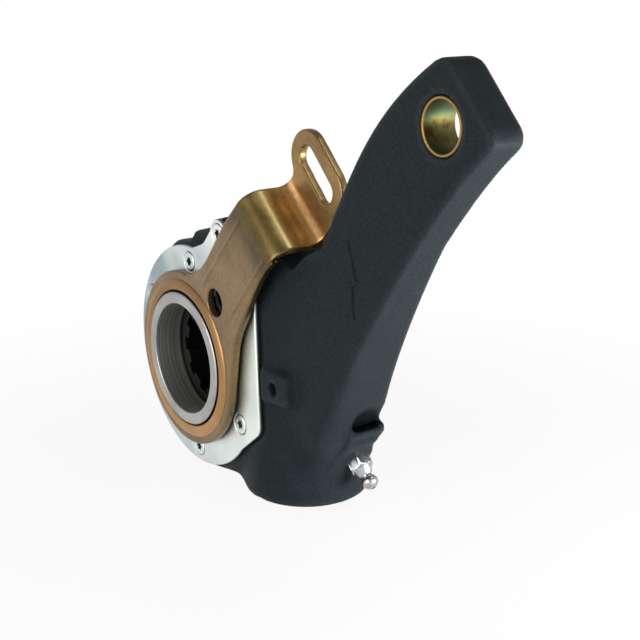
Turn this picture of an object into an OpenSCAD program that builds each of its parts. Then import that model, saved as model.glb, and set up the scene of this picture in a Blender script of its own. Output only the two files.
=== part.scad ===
// Brake slack adjuster, automatic rack and clutch type, for an S-cam drum brake.
// The camshaft runs along Y through the origin, the worm runs along Z,
// the cover faces -Y and the lever points up and to the right.

/* [Lever] */
// Straight distance from the camshaft axis to the clevis pin
arm_length = 180.6; // [120:0.1:220]
// Angle of the clevis pin above the X axis, degrees
arm_angle = 35.24; // [20:0.01:60]
// Thickness of the lever at its outer end
arm_t = 13.6; // [10:0.1:20]
// Extra thickness of the lever where it leaves the barrel
arm_root_extra = 15; // [8:0.5:24]
// Radius of the long cast edges of the lever
arm_edge_r = 3.2; // [1:0.1:5]
// Radius of the two corners at the lever end
arm_corner_r = 5; // [3:0.1:10]
// Bore radius of the clevis bush
bush_bore_r = 7.95; // [6:0.01:9]
// Wall of the clevis bush
bush_wall = 1.1; // [0.8:0.05:3]

/* [Housing] */
// Outer radius of the round head
head_r = 46.8; // [40:0.1:60]
// Front face of the cover seat
seat_y = -23.6; // [-26:0.1:-20]
// Plane of the cast front face beside the cover
face_y = -21.3; // [-24:0.1:-18]
// Back face of the head
back_y = 24.5; // [20:0.1:30]
// Radius of the wheel chamber
chamber_r = 36; // [35.5:0.1:38]
// Radius of the worm barrel
barrel_r = 24.5; // [22:0.1:28]
// Lower end of the worm barrel
barrel_bottom = -49.4; // [-55:0.1:-44]
// Upper end of the worm barrel
barrel_top = 54.5; // [50:0.1:60]
// Radius of the spring chamber
spring_chamber_r = 17.5; // [16:0.1:20]
// Height of the floor of the spring chamber
spring_chamber_top = -25.4; // [-28:0.1:-24]

/* [Worm drive] */
// Module of the worm wheel
wheel_m = 2.6; // [2:0.1:3]
// Teeth on the worm wheel
wheel_teeth = 25; // [20:1:30]
// Face width of the worm wheel
wheel_face = 16; // [12:0.5:18]
// Pitch radius of the worm
worm_pitch_r = 10.8; // [9:0.1:12]
// Backlash between worm and wheel at the pitch line
backlash = 0.5; // [0.3:0.05:0.8]
// Threaded length of the worm
worm_len = 28; // [22:0.5:28]
// Radius of the plain lower end of the worm shaft
worm_stub_r = 7; // [6:0.1:8]
// Radius of the upper journal of the worm shaft
worm_journal_r = 6; // [5:0.1:7]
// Width across flats of the adjusting hex
hex_af = 12; // [10:0.5:13]
// Lower end of the adjusting hex
hex_bottom = -53.2; // [-56:0.1:-50]

/* [Camshaft bore] */
// Front face of the wheel hub
hub_front = -32; // [-36:0.1:-28]
// Back face of the wheel hub
hub_back = 26; // [24.5:0.1:30]
// Outer radius of the front hub
hub_r = 27.8; // [26:0.1:30]
// Outer radius of the rear hub
hub_rear_r = 27.6; // [26:0.1:28]
// Counterbore radius in the front hub
cbore_r = 23.1; // [20:0.1:25]
// Counterbore depth
cbore_depth = 12.3; // [8:0.1:16]
// Major diameter of the camshaft spline
spline_d = 38.1; // [30:0.1:42]
// Number of splines
spline_n = 10; // [6:1:12]
// Width of one spline slot
spline_w = 5.94; // [4:0.01:7]
// Minor radius of the spline bore
spline_minor_r = 16.4; // [14:0.1:18]

/* [Control arm] */
// Thickness of the control arm plate
plate_t = 3.8; // [3:0.1:5]
// Front face of the plate
plate_y = -30.7; // [-32:0.1:-29]
// Outer radius of the plate ring
plate_ring_r = 36.5; // [34:0.1:40]
// Direction of the plate above the X axis, degrees
plate_angle = 47; // [40:0.5:60]
// Distance from the camshaft axis to the step of the plate
step_u = 90; // [80:0.5:100]
// Front face of the ear that carries the anchor slot
ear_y = -11.4; // [-16:0.1:-8]
// Inside radius of the first bend
bend1_r = 4.4; // [3:0.1:8]
// Inside radius of the second bend
bend2_r = 4.2; // [3:0.1:8]
// Width of the plate at the step
strip_w = 28; // [22:0.5:34]
// Width of the anchor slot
slot_w = 8.6; // [8:0.1:12]
// Distance between the end centres of the anchor slot
slot_run = 15.4; // [8:0.1:20]
// Radius of the tool hole in the plate
tool_hole_r = 5.5; // [4:0.1:7]
// Distance of the tool hole from the camshaft axis
tool_hole_u = 39.5; // [36:0.1:44]
// Outer radius of the collar flange
collar_r = 33.7; // [32:0.1:35]

/* [Cover] */
// Thickness of the cover plate
cover_t = 2; // [1.5:0.1:3]
// Thickness of the gasket
gasket_t = 0.6; // [0.4:0.1:1]
// Radius of the round side of the cover
cover_r = 46.5; // [42:0.1:50]
// Straight edge of the cover on the lever side
cover_x = 49.2; // [46:0.1:56]
// Radius of the screw circle
screw_circle_r = 40; // [38:0.1:42]
// Radius of a screw head
screw_head_r = 4.2; // [3.5:0.1:5]
// Length of a screw under its head
screw_len = 8; // [6:0.5:8]

/* [Rack and clutch] */
// Module of the rack and the ring gear
rack_m = 1.25; // [1:0.05:1.5]
// Teeth on the ring gear
ring_teeth = 18; // [16:1:20]
// Radius at which the lug drives the rack
lug_arm = 38.6; // [38:0.1:40]
// Radius of the round end of the lug
lug_r = 1.9; // [1.5:0.1:2.2]
// Swing of the control arm, degrees
swing = 25; // [10:1:30]
// Play between the lug and the rack notch, each side
rack_play = 0.35; // [0.2:0.05:1]
// Wire radius of the clutch spring
spring_wire_r = 1.7; // [1.2:0.1:2]
// Turns of the clutch spring
spring_turns = 2.8; // [2:0.1:4]

/* [Fits] */
// Radial gap of a running fit
run_gap = 0.08; // [0.03:0.01:0.1]
// Gap between curved faces that stand clear
free_gap = 0.3; // [0.2:0.05:0.6]
// Radial gap round a sealing ring
seal_gap = 0.1; // [0.05:0.01:0.3]

/* [Hidden] */
$fn = 64;
eps = 0.02;

wheel_pitch_r = wheel_m * wheel_teeth / 2;
worm_x = wheel_pitch_r + worm_pitch_r;
worm_lead = PI * wheel_m;
lead_angle = atan(worm_lead / (2 * PI * worm_pitch_r));
worm_tip_r = worm_pitch_r + 0.92 * wheel_m;
worm_root_r = worm_pitch_r - 1.08 * wheel_m;
wheel_tip_r = wheel_pitch_r + 0.9 * wheel_m;
wheel_root_r = wheel_pitch_r - 1.25 * wheel_m;
cover_y = seat_y - gasket_t - cover_t;
plate_back = plate_y + plate_t;
bush_r = bush_bore_r + bush_wall;
clevis_x = arm_length * cos(arm_angle);
clevis_z = arm_length * sin(arm_angle);
neck_r = 31;
sleeve_r = hub_r + free_gap;
lug_rest = swing / 2;
rack_travel = 2 * lug_arm * sin(lug_rest);
lug_x = lug_arm * sin(lug_rest);
lug_window = 2 * (lug_x + lug_r + 2.5);
rack_z0 = 36.8;
rack_z1 = 42.8;
ring_pitch_r = rack_m * ring_teeth / 2;
rack_root_y = -ring_pitch_r - 1.25 * rack_m;
rack_back_y = -17;
rack_x0 = 2;
rack_x1 = 64;
ring_z0 = rack_z0;
ring_z1 = rack_z1;
worm_bore_r = worm_tip_r + 1;
ring_bore_r = ring_pitch_r + rack_m + 0.7;
journal_top = 51;
cap_z0 = -48;
cap_z1 = -43;
seat_z = -28;
ball_z = -worm_len / 2 - 3;
clutch_z = worm_len / 2 + 5.8;
ball_pitch_r = 9.05;
race_r = 11;
nip_y = 5;
nip_x = worm_x + barrel_r + 2.2;
nip_z = -31.3;
nip_angle = 130;
nip_len = 13.4;
seven_x = 24;
seven_z = 55;
screw_pts = concat([for (k = [0:5]) screw_circle_r * [cos(30 + 60 * k), sin(30 + 60 * k)]],
    [[seven_x, seven_z]]);

// Cylinder along Y between two planes
module ycyl(r, y0, y1) {
    translate([0, y0, 0])
        rotate([-90, 0, 0])
            cylinder(r = r, h = y1 - y0);
}

// Slab between two Y planes of an outline drawn in X and Z
module yslab(y0, y1) {
    translate([0, y1, 0])
        rotate([90, 0, 0])
            linear_extrude(height = y1 - y0)
                children();
}

// Body of revolution about Y from a profile of radius and Y
module yrev() {
    rotate([-90, 0, 0])
        rotate_extrude()
            children();
}

// Cylinder along the worm axis between two heights
module wcyl(r, z0, z1) {
    translate([worm_x, 0, z0])
        cylinder(r = r, h = z1 - z0);
}

// Ring with a round section about the worm axis
module wtorus(rm, rs, z) {
    translate([worm_x, 0, z])
        rotate_extrude()
            translate([rm, 0])
                circle(r = rs, $fn = 24);
}

function unit2(v) = v / norm(v);
function corner(p, a, b, r) =
    let (u = unit2(a - p), v = unit2(b - p), h = acos(u * v) / 2, d = r / tan(h),
        c = p + unit2(u + v) * r / sin(h), s = p + u * d - c, e = p + v * d - c,
        a0 = atan2(s[1], s[0]), w = atan2(e[1], e[0]) - a0,
        sw = w > 180 ? w - 360 : w < -180 ? w + 360 : w)
    [for (k = [0:6]) c + r * [cos(a0 + sw * k / 6), sin(a0 + sw * k / 6)]];

// Outline with every corner rounded to its own radius
function rounded(p, r) =
    let (n = len(p))
    [for (i = [0:n - 1])
        for (q = r[i] == 0 ? [p[i]] : corner(p[i], p[(i + n - 1) % n], p[(i + 1) % n], r[i])) q];

function bez(p, t) =
    pow(1 - t, 3) * p[0] + 3 * t * pow(1 - t, 2) * p[1]
    + 3 * t * t * (1 - t) * p[2] + pow(t, 3) * p[3];

// Flat piece with the outline shared by the cover, its gasket and its seat
function cover_points(g) =
    [[-8, 40], [3 - g, 46.4 + g], [12 - g, 49.4 + g], [19.4 - g, 57 + g],
        [seven_x + 4, seven_z + 3 + g], [cover_x + g, 34], [cover_x + g, -20 - g], [20 + g, -42 - g], [0, -40]];
module cover_slab(y0, y1, g = 0) {
    ycyl(cover_r + g, y0, y1);
    yslab(y0, y1)
        polygon(rounded(cover_points(g), [1, 12, 10, 1, 1, 5, 6, 8, 1]));
    translate([seven_x, 0, seven_z])
        ycyl(5.8 + g, y0, y1);
}

// Lever edges, each a cubic curve from the barrel to the end corner
arm_left = [[70, 38], [99.4, 74.2], [103.5, 103.2], [150, 127]];
arm_right = [[80, -18], [86.7, -2.4], [140, 79.6], [171.7, 101.1]];

// One section of the lever, a rounded rectangle from edge to edge
function arm_ring(l, r, y0, y1, e) =
    let (w = unit2(r - l), n = norm(r - l), c = [[n - e, y1 - e, 0], [e, y1 - e, 90],
        [e, y0 + e, 180], [n - e, y0 + e, 270]])
    [for (q = c) for (k = [0:3])
        let (a = q[2] + 30 * k, s = q[0] + e * cos(a), y = q[1] + e * sin(a), m = l + w * s)
        [m[0], y, m[1]]];
function arm_thick(t) = arm_t + (t < 0.55 ? arm_root_extra * pow(1 - t / 0.55, 1.1) : 0);
function arm_section(t, inset) =
    let (l = bez(arm_left, t), r = bez(arm_right, t), w = unit2(r - l) * inset)
    arm_ring(l + w, r - w, face_y, face_y + arm_thick(t), arm_edge_r);
arm_tip_span = 0.052;
arm_rings = concat(
    [arm_ring([46, 14], [52, -45], face_y + 5, 10, arm_edge_r)],
    [arm_ring([56, 26], [67, -34], face_y + 2.5, 12, arm_edge_r)],
    [for (k = [0:15]) arm_section(k / 15 * (1 - arm_tip_span), 0)],
    [for (a = [18:18:90]) arm_section(1 - arm_tip_span * (1 - sin(a)), arm_corner_r * (1 - cos(a)))]);

// Cast lever swept from the barrel to its rounded end
module arm_loft() {
    n = len(arm_rings);
    m = len(arm_rings[0]);
    polyhedron(
        points = [for (q = arm_rings) for (p = q) p],
        faces = concat(
            [[for (j = [0:m - 1]) j]],
            [for (i = [0:n - 2]) for (j = [0:m - 1]) [i * m + j, (i + 1) * m + j, i * m + (j + 1) % m]],
            [for (i = [0:n - 2]) for (j = [0:m - 1])
                [(i + 1) * m + j, (i + 1) * m + (j + 1) % m, i * m + (j + 1) % m]],
            [[for (j = [m - 1:-1:0]) (n - 1) * m + j]]));
}

// Everything of the casting before it is machined
module casting() {
    yrev()
        polygon([[20, seat_y], [head_r, seat_y], [head_r, back_y - 7], [head_r - 2, back_y - 2.2],
            [head_r - 6.5, back_y], [20, back_y]]);
    translate([worm_x, 0, 0])
        rotate_extrude()
            polygon([[0, barrel_bottom], [barrel_r - 1.6, barrel_bottom], [barrel_r, barrel_bottom + 1.6],
                [barrel_r, barrel_top - 9], [barrel_r - 2.6, barrel_top - 2.6],
                [barrel_r - 9, barrel_top], [0, barrel_top]]);
    arm_loft();
    cover_slab(seat_y, -12);
    yslab(face_y, -4)
        polygon(rounded([[-17.6, 30], [-17.6, 45.2], [-4, 46.2], [-4, 51.5], [16, 56.5], [30, 57],
            [58, barrel_top - 2], [66, 47], [76, 54.5], [86, 58.5], [96, 63], [90, 40], [80, -4], [56, -16],
            [40, -46.8], [0, -46.8], [0, 0]],
            [1, 2, 2, 2, 5, 4, 6, 2, 3, 3, 1, 3, 3, 3, 3, 1, 1]));
    yslab(cover_y + 0.4, face_y + 4)
        polygon(rounded([[cover_x + 0.8, -5.5], [cover_x + 0.8, 7.5], [65, 7.5], [65, -5.5]], [1, 3, 3, 3]));
    yslab(-7, 7.5)
        translate([nip_x, nip_z])
            polygon(rounded([[-18, 33], [9.5, 21.8], [14, 16.8], [4, 5.2], [-3.3, -3.5], [-18, 1.3]],
                [1, 3, 3, 1, 1, 1]));
    translate([nip_x, nip_y, nip_z])
        rotate([0, nip_angle, 0])
            translate([0, 0, -16])
                cylinder(r = 6.6, h = 16);
}

// Cast housing with the round head, the worm barrel and the lever
module housing() {
    color("dimgray")
        difference() {
            casting();
            cover_slab(seat_y - 6, seat_y, 0.5);
            ycyl(chamber_r, seat_y - eps, wheel_face / 2 + 0.4);
            ycyl(hub_rear_r + run_gap, 0, back_y + 1);
            wcyl(spring_chamber_r, barrel_bottom - 1, spring_chamber_top);
            wcyl(worm_bore_r, spring_chamber_top - 1, ring_z0 - 0.7);
            wcyl(ring_bore_r, ring_z0 - 1, ring_z1 + 0.5);
            wcyl(worm_journal_r + run_gap, 30, journal_top);
            translate([-25, rack_back_y - free_gap, rack_z0 - free_gap])
                cube([25 + rack_x1 + 1, -10 + 0.7 - rack_back_y + free_gap, rack_z1 - rack_z0 + 2 * free_gap]);
            translate([-lug_window / 2, rack_back_y - free_gap, chamber_r - 6])
                cube([lug_window, -10 + 0.7 - rack_back_y + free_gap, rack_z1 - chamber_r + 6]);
            translate([clevis_x, 0, clevis_z])
                ycyl(bush_r + 0.05, face_y - 1, face_y + arm_t + 1);
            for (p = screw_pts)
                translate([p[0], 0, p[1]])
                    ycyl(2.1, seat_y - 1, cover_y + screw_len + 0.3);
            rotate([0, -plate_angle, 0])
                translate([tool_hole_u, 0, 0])
                    ycyl(tool_hole_r + 0.2, seat_y - 1, seat_y + 5);
            translate([58.6, 0, 0.6])
                ycyl(2.1, cover_y - 1, cover_y + 9);
            translate([nip_x, nip_y, nip_z])
                rotate([0, nip_angle, 0])
                    translate([0, 0, -7])
                        cylinder(r = 3.55, h = 12);
            translate([nip_x + 15, -3, nip_z + 22.5])
                sphere(r = 6, $fn = 32);
        }
}

// Thin bush pressed into the lever end
module clevis_bush() {
    color("darkkhaki")
        translate([clevis_x, 0, clevis_z])
            difference() {
                ycyl(bush_r, face_y + 0.3, face_y + arm_t - 0.3);
                ycyl(bush_bore_r, face_y - 1, face_y + arm_t + 1);
            }
}

// Pressed cover that closes the wheel chamber
module cover_plate() {
    color("silver")
        difference() {
            cover_slab(cover_y, seat_y - gasket_t);
            ycyl(neck_r + free_gap, cover_y - 1, seat_y);
            for (p = screw_pts)
                translate([p[0], 0, p[1]])
                    ycyl(2.8, cover_y - 1, seat_y);
            for (p = screw_pts)
                translate([p[0], cover_y - eps, p[1]])
                    rotate([-90, 0, 0])
                        cylinder(r1 = screw_head_r + 0.15, r2 = 2.8, h = 1.45);
            rotate([0, -plate_angle, 0])
                translate([tool_hole_u, 0, 0])
                    ycyl(tool_hole_r + 0.7, cover_y - 1, seat_y);
        }
}

// Flat gasket between cover and housing
module cover_gasket() {
    color("darkslategray")
        difference() {
            cover_slab(seat_y - gasket_t, seat_y);
            ycyl(chamber_r, seat_y - 2, seat_y + 1);
            for (p = screw_pts)
                translate([p[0], 0, p[1]])
                    ycyl(2.9, seat_y - 2, seat_y + 1);
            rotate([0, -plate_angle, 0])
                translate([tool_hole_u, 0, 0])
                    ycyl(tool_hole_r + 0.7, seat_y - 2, seat_y + 1);
        }
}

// One countersunk screw with a star recess kept as a plain round socket
module cover_screw() {
    difference() {
        union() {
            translate([0, cover_y - 0.45, 0])
                rotate([-90, 0, 0])
                    cylinder(r1 = screw_head_r - 0.5, r2 = screw_head_r, h = 0.45);
            translate([0, cover_y, 0])
                rotate([-90, 0, 0])
                    cylinder(r1 = screw_head_r, r2 = 2.5, h = 1.4);
            ycyl(2.5, cover_y + 1.3, seat_y - gasket_t + 0.1);
            ycyl(2.05, cover_y + 1.3, cover_y + screw_len);
        }
        ycyl(1.9, cover_y - 1, cover_y + 1.1);
    }
}

module cover_screws() {
    color("gainsboro")
        for (p = screw_pts)
            translate([p[0], 0, p[1]])
                cover_screw();
}

// Outline of the flat part of the control arm, drawn along its own direction
module plate_outline() {
    bend_u = step_u - bend1_r - plate_t;
    circle(r = plate_ring_r, $fn = 96);
    polygon(rounded([[20, -30.4], [40, -18.8], [78, -strip_w / 2 + 1], [bend_u, -strip_w / 2],
        [bend_u, strip_w / 2], [70, 15.2], [36, 14.6], [20, 30.4]],
        [1, 30, 60, 0, 0, 60, 30, 1]));
}

// Outline of the ear with its anchor slot
module ear_outline() {
    ear_u = 107;
    ear_v = 4.2;
    difference() {
        union() {
            polygon(rounded([[step_u + bend2_r, -strip_w / 2], [step_u + bend2_r, strip_w / 2],
                [ear_u, 14], [ear_u, -12]], [0, 0, 1, 1]));
            translate([ear_u, ear_v])
                rotate(-3) {
                    square([2 * 10.2, slot_run + 1], center = true);
                    for (s = [-1, 1])
                        translate([0, s * slot_run / 2])
                            circle(r = 10.2, $fn = 64);
                }
        }
        translate([ear_u, ear_v])
            rotate(-3) {
                square([slot_w, slot_run], center = true);
                for (s = [-1, 1])
                    translate([0, s * slot_run / 2])
                        circle(r = slot_w / 2, $fn = 48);
            }
    }
}

// Quarter bend of the strip about an axis that lies across it
module bend(r, a0) {
    translate([0, 0, -strip_w / 2])
        rotate([0, 0, a0])
            rotate_extrude(angle = 90)
                translate([r, 0])
                    square([plate_t, strip_w]);
}

// Control arm, one strip bent twice, with the anchor slot in its ear
module control_arm() {
    b1u = step_u - bend1_r - plate_t;
    b1y = plate_back + bend1_r;
    b2u = step_u + bend2_r;
    b2y = ear_y - bend2_r;
    color("peru")
        rotate([0, -plate_angle, 0])
            difference() {
                union() {
                    yslab(plate_y, plate_back)
                        plate_outline();
                    translate([b1u, b1y, 0])
                        bend(bend1_r, -90);
                    translate([step_u - plate_t, b1y, -strip_w / 2])
                        cube([plate_t, b2y - b1y, strip_w]);
                    translate([b2u, b2y, 0])
                        bend(bend2_r, 90);
                    yslab(ear_y, ear_y + plate_t)
                        ear_outline();
                }
                ycyl(neck_r + 0.05, plate_y - 1, plate_back + 1);
                translate([tool_hole_u, 0, 0])
                    ycyl(tool_hole_r, plate_y - 1, plate_back + 1);
            }
}

// Sleeve whose flange clamps the control arm and whose neck passes the cover
module control_collar() {
    disc_y = seat_y - gasket_t + 1;
    color("goldenrod")
        yrev()
            polygon([[sleeve_r, plate_y - 0.5], [sleeve_r + 0.4, plate_y - 0.9], [collar_r - 0.6, plate_y - 0.9],
                [collar_r, plate_y - 0.4], [collar_r, plate_y], [neck_r, plate_y], [neck_r, disc_y],
                [sleeve_r, disc_y]]);
}

// Control disc inside the chamber, its lug drives the rack
module control_disc() {
    disc_y = seat_y - gasket_t + 1;
    disc_back = -12.9;
    color("slategray") {
        difference() {
            union() {
                ycyl(chamber_r - 0.4, disc_y, disc_back);
                rotate([0, lug_rest, 0]) {
                    translate([-1.3, rack_back_y + 0.4, 31])
                        cube([2.6, disc_back - rack_back_y - 0.8, lug_arm - 31]);
                    translate([0, 0, lug_arm])
                        ycyl(lug_r, rack_back_y + 0.2, disc_back - 0.2);
                }
            }
            ycyl(sleeve_r, disc_y - 1, disc_back + 1);
        }
    }
}

// Ring that seals the neck of the collar in the cover
module collar_seal() {
    color("black")
        yrev()
            polygon([[neck_r + seal_gap, cover_y - 0.5], [plate_ring_r - 1.5, cover_y - 0.5],
                [plate_ring_r - 1, cover_y], [neck_r + 0.6, cover_y]]);
}

// Tooth of the worm wheel, flanks drawn as chords of the involute
module wheel_tooth() {
    h = PI * wheel_m / 4 - backlash / 4;
    rotate([-lead_angle, 0, 0])
        translate([0, wheel_face / 2 + 1, 0])
            rotate([90, 0, 0])
                linear_extrude(height = wheel_face + 2)
                    polygon([[wheel_root_r - 1.5, -2.7], [wheel_root_r + 0.9, 0.32 - h - 1],
                        [wheel_pitch_r, -h], [wheel_tip_r, -0.62], [wheel_tip_r, 0.62],
                        [wheel_pitch_r, h], [wheel_root_r + 0.9, h + 1 - 0.32], [wheel_root_r - 1.5, 2.7]]);
}

// Worm wheel with its two hubs and the splined camshaft bore
module worm_wheel() {
    cb = hub_front + cbore_depth;
    color("lightsteelblue")
        difference() {
            union() {
                intersection() {
                    for (k = [0:wheel_teeth - 1])
                        rotate([0, k * 360 / wheel_teeth, 0])
                            wheel_tooth();
                    ycyl(wheel_tip_r + 1, -wheel_face / 2, wheel_face / 2);
                }
                yrev()
                    polygon([[10, hub_front], [hub_r - 0.8, hub_front], [hub_r, hub_front + 0.8],
                        [hub_r, -20.6], [hub_r - 2, -20.6], [hub_r - 2, -18.2], [hub_r, -18.2],
                        [hub_r, -wheel_face / 2], [wheel_root_r, -wheel_face / 2],
                        [wheel_root_r, wheel_face / 2], [hub_rear_r, wheel_face / 2],
                        [hub_rear_r, 16], [hub_rear_r - 2, 16], [hub_rear_r - 2, 18.4], [hub_rear_r, 18.4],
                        [hub_rear_r, hub_back - 0.8], [hub_rear_r - 0.8, hub_back], [10, hub_back]]);
            }
            ycyl(cbore_r, hub_front - 1, cb);
            translate([0, hub_front - eps, 0])
                rotate([-90, 0, 0])
                    cylinder(r1 = cbore_r + 0.6, r2 = cbore_r, h = 0.6);
            ycyl(spline_minor_r, cb - 1, hub_back + 1);
            for (k = [0:spline_n - 1])
                rotate([0, k * 360 / spline_n, 0])
                    intersection() {
                        translate([0, cb - 1, -spline_w / 2])
                            cube([spline_d, hub_back - cb + 2, spline_w]);
                        ycyl(spline_d / 2, cb - 1, hub_back + 1);
                    }
        }
}

// Sealing rings in the grooves of the two hubs
module hub_front_seal() {
    color("black")
        yrev()
            translate([hub_r + free_gap - seal_gap - 1, -19.4])
                circle(r = 1, $fn = 24);
}

module hub_rear_seal() {
    color("black")
        yrev()
            translate([hub_rear_r - 0.96, 17.2])
                circle(r = 1, $fn = 24);
}

// Radius of the worm at an angle from the middle of its thread, one section across the axis
function worm_radius(a) =
    let (h = PI * wheel_m / 4 - backlash / 4, w = abs(a) * worm_lead / 360)
    max(worm_root_r, min(worm_tip_r, worm_pitch_r + (h - w) / tan(20)));

// Worm thread with its core, the section turned along the axis by the lead
module worm_thread() {
    turns = worm_len / worm_lead;
    h = PI * wheel_m / 4 - backlash / 4;
    tip_a = (h - (worm_tip_r - worm_pitch_r) * tan(20)) * 360 / worm_lead;
    root_a = (h + (worm_pitch_r - worm_root_r) * tan(20)) * 360 / worm_lead;
    half = concat([for (k = [0:3]) tip_a * k / 3], [for (k = [1:5]) tip_a + (root_a - tip_a) * k / 5],
        [for (k = [1:3]) root_a + (180 - root_a) * k / 3]);
    angles = concat(half, [for (k = [len(half) - 2:-1:1]) 360 - half[k]]);
    translate([0, 0, -worm_len / 2])
        rotate([0, 0, -180 * turns])
            linear_extrude(height = worm_len, twist = -360 * turns, slices = 60, segments = 1, $fn = 6)
                polygon([for (a = angles) worm_radius(a > 180 ? 360 - a : a) * [cos(a), sin(a)]]);
}

// Worm shaft with the thread, the upper journal and the adjusting hex
module worm_shaft() {
    color("steelblue") {
        translate([worm_x, 0, 0])
            worm_thread();
        wcyl(worm_journal_r, worm_len / 2 - 1, journal_top - 0.4);
        wcyl(worm_stub_r, cap_z0 - 0.2, -worm_len / 2 + 1);
        translate([worm_x, 0, hex_bottom])
            intersection() {
                cylinder(r = hex_af / 2 / cos(30), h = cap_z0 - hex_bottom + 0.5, $fn = 6);
                translate([0, 0, -eps])
                    cylinder(r1 = hex_af / 2 - 0.1, r2 = hex_af / 2 + 6, h = 6.1);
            }
    }
}

// Clutch wheel keyed on the worm shaft
module clutch_wheel() {
    color("darkgray")
        difference() {
            union() {
                wcyl(worm_bore_r - 0.4, clutch_z, 24);
                wcyl(8, 23, 31);
                for (k = [0:11])
                    translate([worm_x, 0, 0])
                        rotate([0, 0, k * 30])
                            translate([8.4, -0.9, clutch_z - 1])
                                cube([3.6, 1.8, 1.5]);
            }
            wcyl(worm_journal_r + 0.02, 10, 40);
        }
}

// Coil swept about the worm axis with flat closed ends
function coil_ring(a, rm, rw, z) =
    [for (k = [0:7]) [(rm + rw * cos(45 * k)) * cos(a), (rm + rw * cos(45 * k)) * sin(a), z + rw * sin(45 * k)]];
module coil(rm, rw, z0, z1, turns, steps) {
    n = round(turns * steps);
    rings = [for (i = [0:n]) coil_ring(360 * i / steps, rm, rw, z0 + (z1 - z0) * i / n)];
    translate([worm_x, 0, 0])
        polyhedron(
            points = [for (q = rings) for (p = q) p],
            faces = concat(
                [[for (j = [7:-1:0]) j]],
                [for (i = [0:n - 1]) for (j = [0:7]) [i * 8 + j, i * 8 + (j + 1) % 8, (i + 1) * 8 + j]],
                [for (i = [0:n - 1]) for (j = [0:7])
                    [(i + 1) * 8 + j, i * 8 + (j + 1) % 8, (i + 1) * 8 + (j + 1) % 8]],
                [[for (j = [0:7]) n * 8 + j]]));
}

// Wrap spring that lets the ring gear drive the clutch wheel one way
module one_way_spring() {
    color("silver")
        coil(9.2, 0.55, 25.2, 34.6, 6, 20);
}

// Ring gear that meets the rack
module ring_gear() {
    tip = ring_pitch_r + rack_m;
    root = ring_pitch_r - 1.25 * rack_m;
    h = PI * rack_m / 4 - 0.1;
    color("rosybrown")
        difference() {
            union() {
                wcyl(root, ring_z0, ring_z1);
                wcyl(8, 31.3, ring_z0 + 1);
                translate([worm_x, 0, ring_z0])
                    for (k = [0:ring_teeth - 1])
                        rotate([0, 0, k * 360 / ring_teeth - 90])
                            linear_extrude(height = ring_z1 - ring_z0)
                                polygon([[root - 0.6, -h - 0.32], [root + 0.3, -h - 0.18], [ring_pitch_r, -h],
                                    [tip - 0.1, -0.3], [tip - 0.1, 0.3], [ring_pitch_r, h],
                                    [root + 0.3, h + 0.18], [root - 0.6, h + 0.32]]);
            }
            wcyl(worm_journal_r + run_gap, ring_z0 - 10, ring_z1 + 1);
        }
}

// Rack with the notch for the lug and teeth for the ring gear
module rack() {
    p = PI * rack_m;
    h = p / 4 - 0.1;
    tip_y = -ring_pitch_r + 0.9 * rack_m;
    first = worm_x + p / 2 - p * floor((worm_x + p / 2 - rack_x0 - 14) / p);
    count = floor((rack_x1 - 2 - first) / p);
    color("cadetblue")
        difference() {
            union() {
                translate([rack_x0, rack_back_y, rack_z0])
                    cube([rack_x1 - rack_x0, rack_root_y - rack_back_y, rack_z1 - rack_z0]);
                for (k = [0:count])
                    translate([first + k * p, 0, rack_z0])
                        linear_extrude(height = rack_z1 - rack_z0)
                            polygon([[-h - 0.9, rack_root_y - 0.5], [-h - 0.52, rack_root_y], [-h, -ring_pitch_r],
                                [-h + 0.41, tip_y], [h - 0.41, tip_y], [h, -ring_pitch_r],
                                [h + 0.52, rack_root_y], [h + 0.9, rack_root_y - 0.5]]);
            }
            translate([lug_x - lug_r - rack_play, rack_back_y - 1, rack_z0 - 1])
                cube([2 * (lug_r + rack_play), 8, lug_arm + lug_r + 0.4 - rack_z0 + 1]);
        }
}

// Plug that closes the end of the rack channel
module rack_plug() {
    color("gray")
        translate([-17.2, rack_back_y - free_gap + 0.02, rack_z0 - free_gap + 0.02])
            cube([1.6, -10 + 0.7 - rack_back_y + free_gap - 0.04, rack_z1 - rack_z0 + 2 * free_gap - 0.04]);
}

// Thrust bearing between the worm and the clutch spring
module thrust_race(z0, z1) {
    difference() {
        translate([worm_x, 0, 0])
            rotate_extrude()
                polygon([[worm_stub_r + run_gap, z0], [race_r, z0], [race_r, z1], [worm_stub_r + run_gap, z1]]);
        wtorus(ball_pitch_r, 1.3, ball_z);
    }
}

module thrust_race_upper() {
    color("lightgray")
        thrust_race(ball_z + 0.7, ball_z + 2.3);
}

module thrust_balls() {
    color("white")
        for (k = [0:11])
            translate([worm_x, 0, ball_z])
                rotate([0, 0, 30 * k])
                    translate([ball_pitch_r, 0, 0])
                        sphere(r = 1.22, $fn = 16);
}

module thrust_race_lower() {
    color("lightgray")
        thrust_race(ball_z - 2.3, ball_z - 0.7);
}

// Main coil that holds the worm against its clutch face
module clutch_spring() {
    color("dimgray")
        coil(12.4, spring_wire_r, cap_z1 + 1.1 + spring_wire_r, seat_z - spring_wire_r - 0.1, spring_turns, 26);
}

// Dished seat on which the clutch spring stands
module spring_seat() {
    color("gray")
        translate([worm_x, 0, 0])
            rotate_extrude()
                polygon([[worm_stub_r + free_gap, seat_z], [15.4, seat_z], [15.4, seat_z + 1.9],
                    [race_r - 0.4, seat_z + 1.9], [race_r - 0.4, ball_z - 2.4], [worm_stub_r + free_gap, ball_z - 2.4]]);
}

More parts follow.
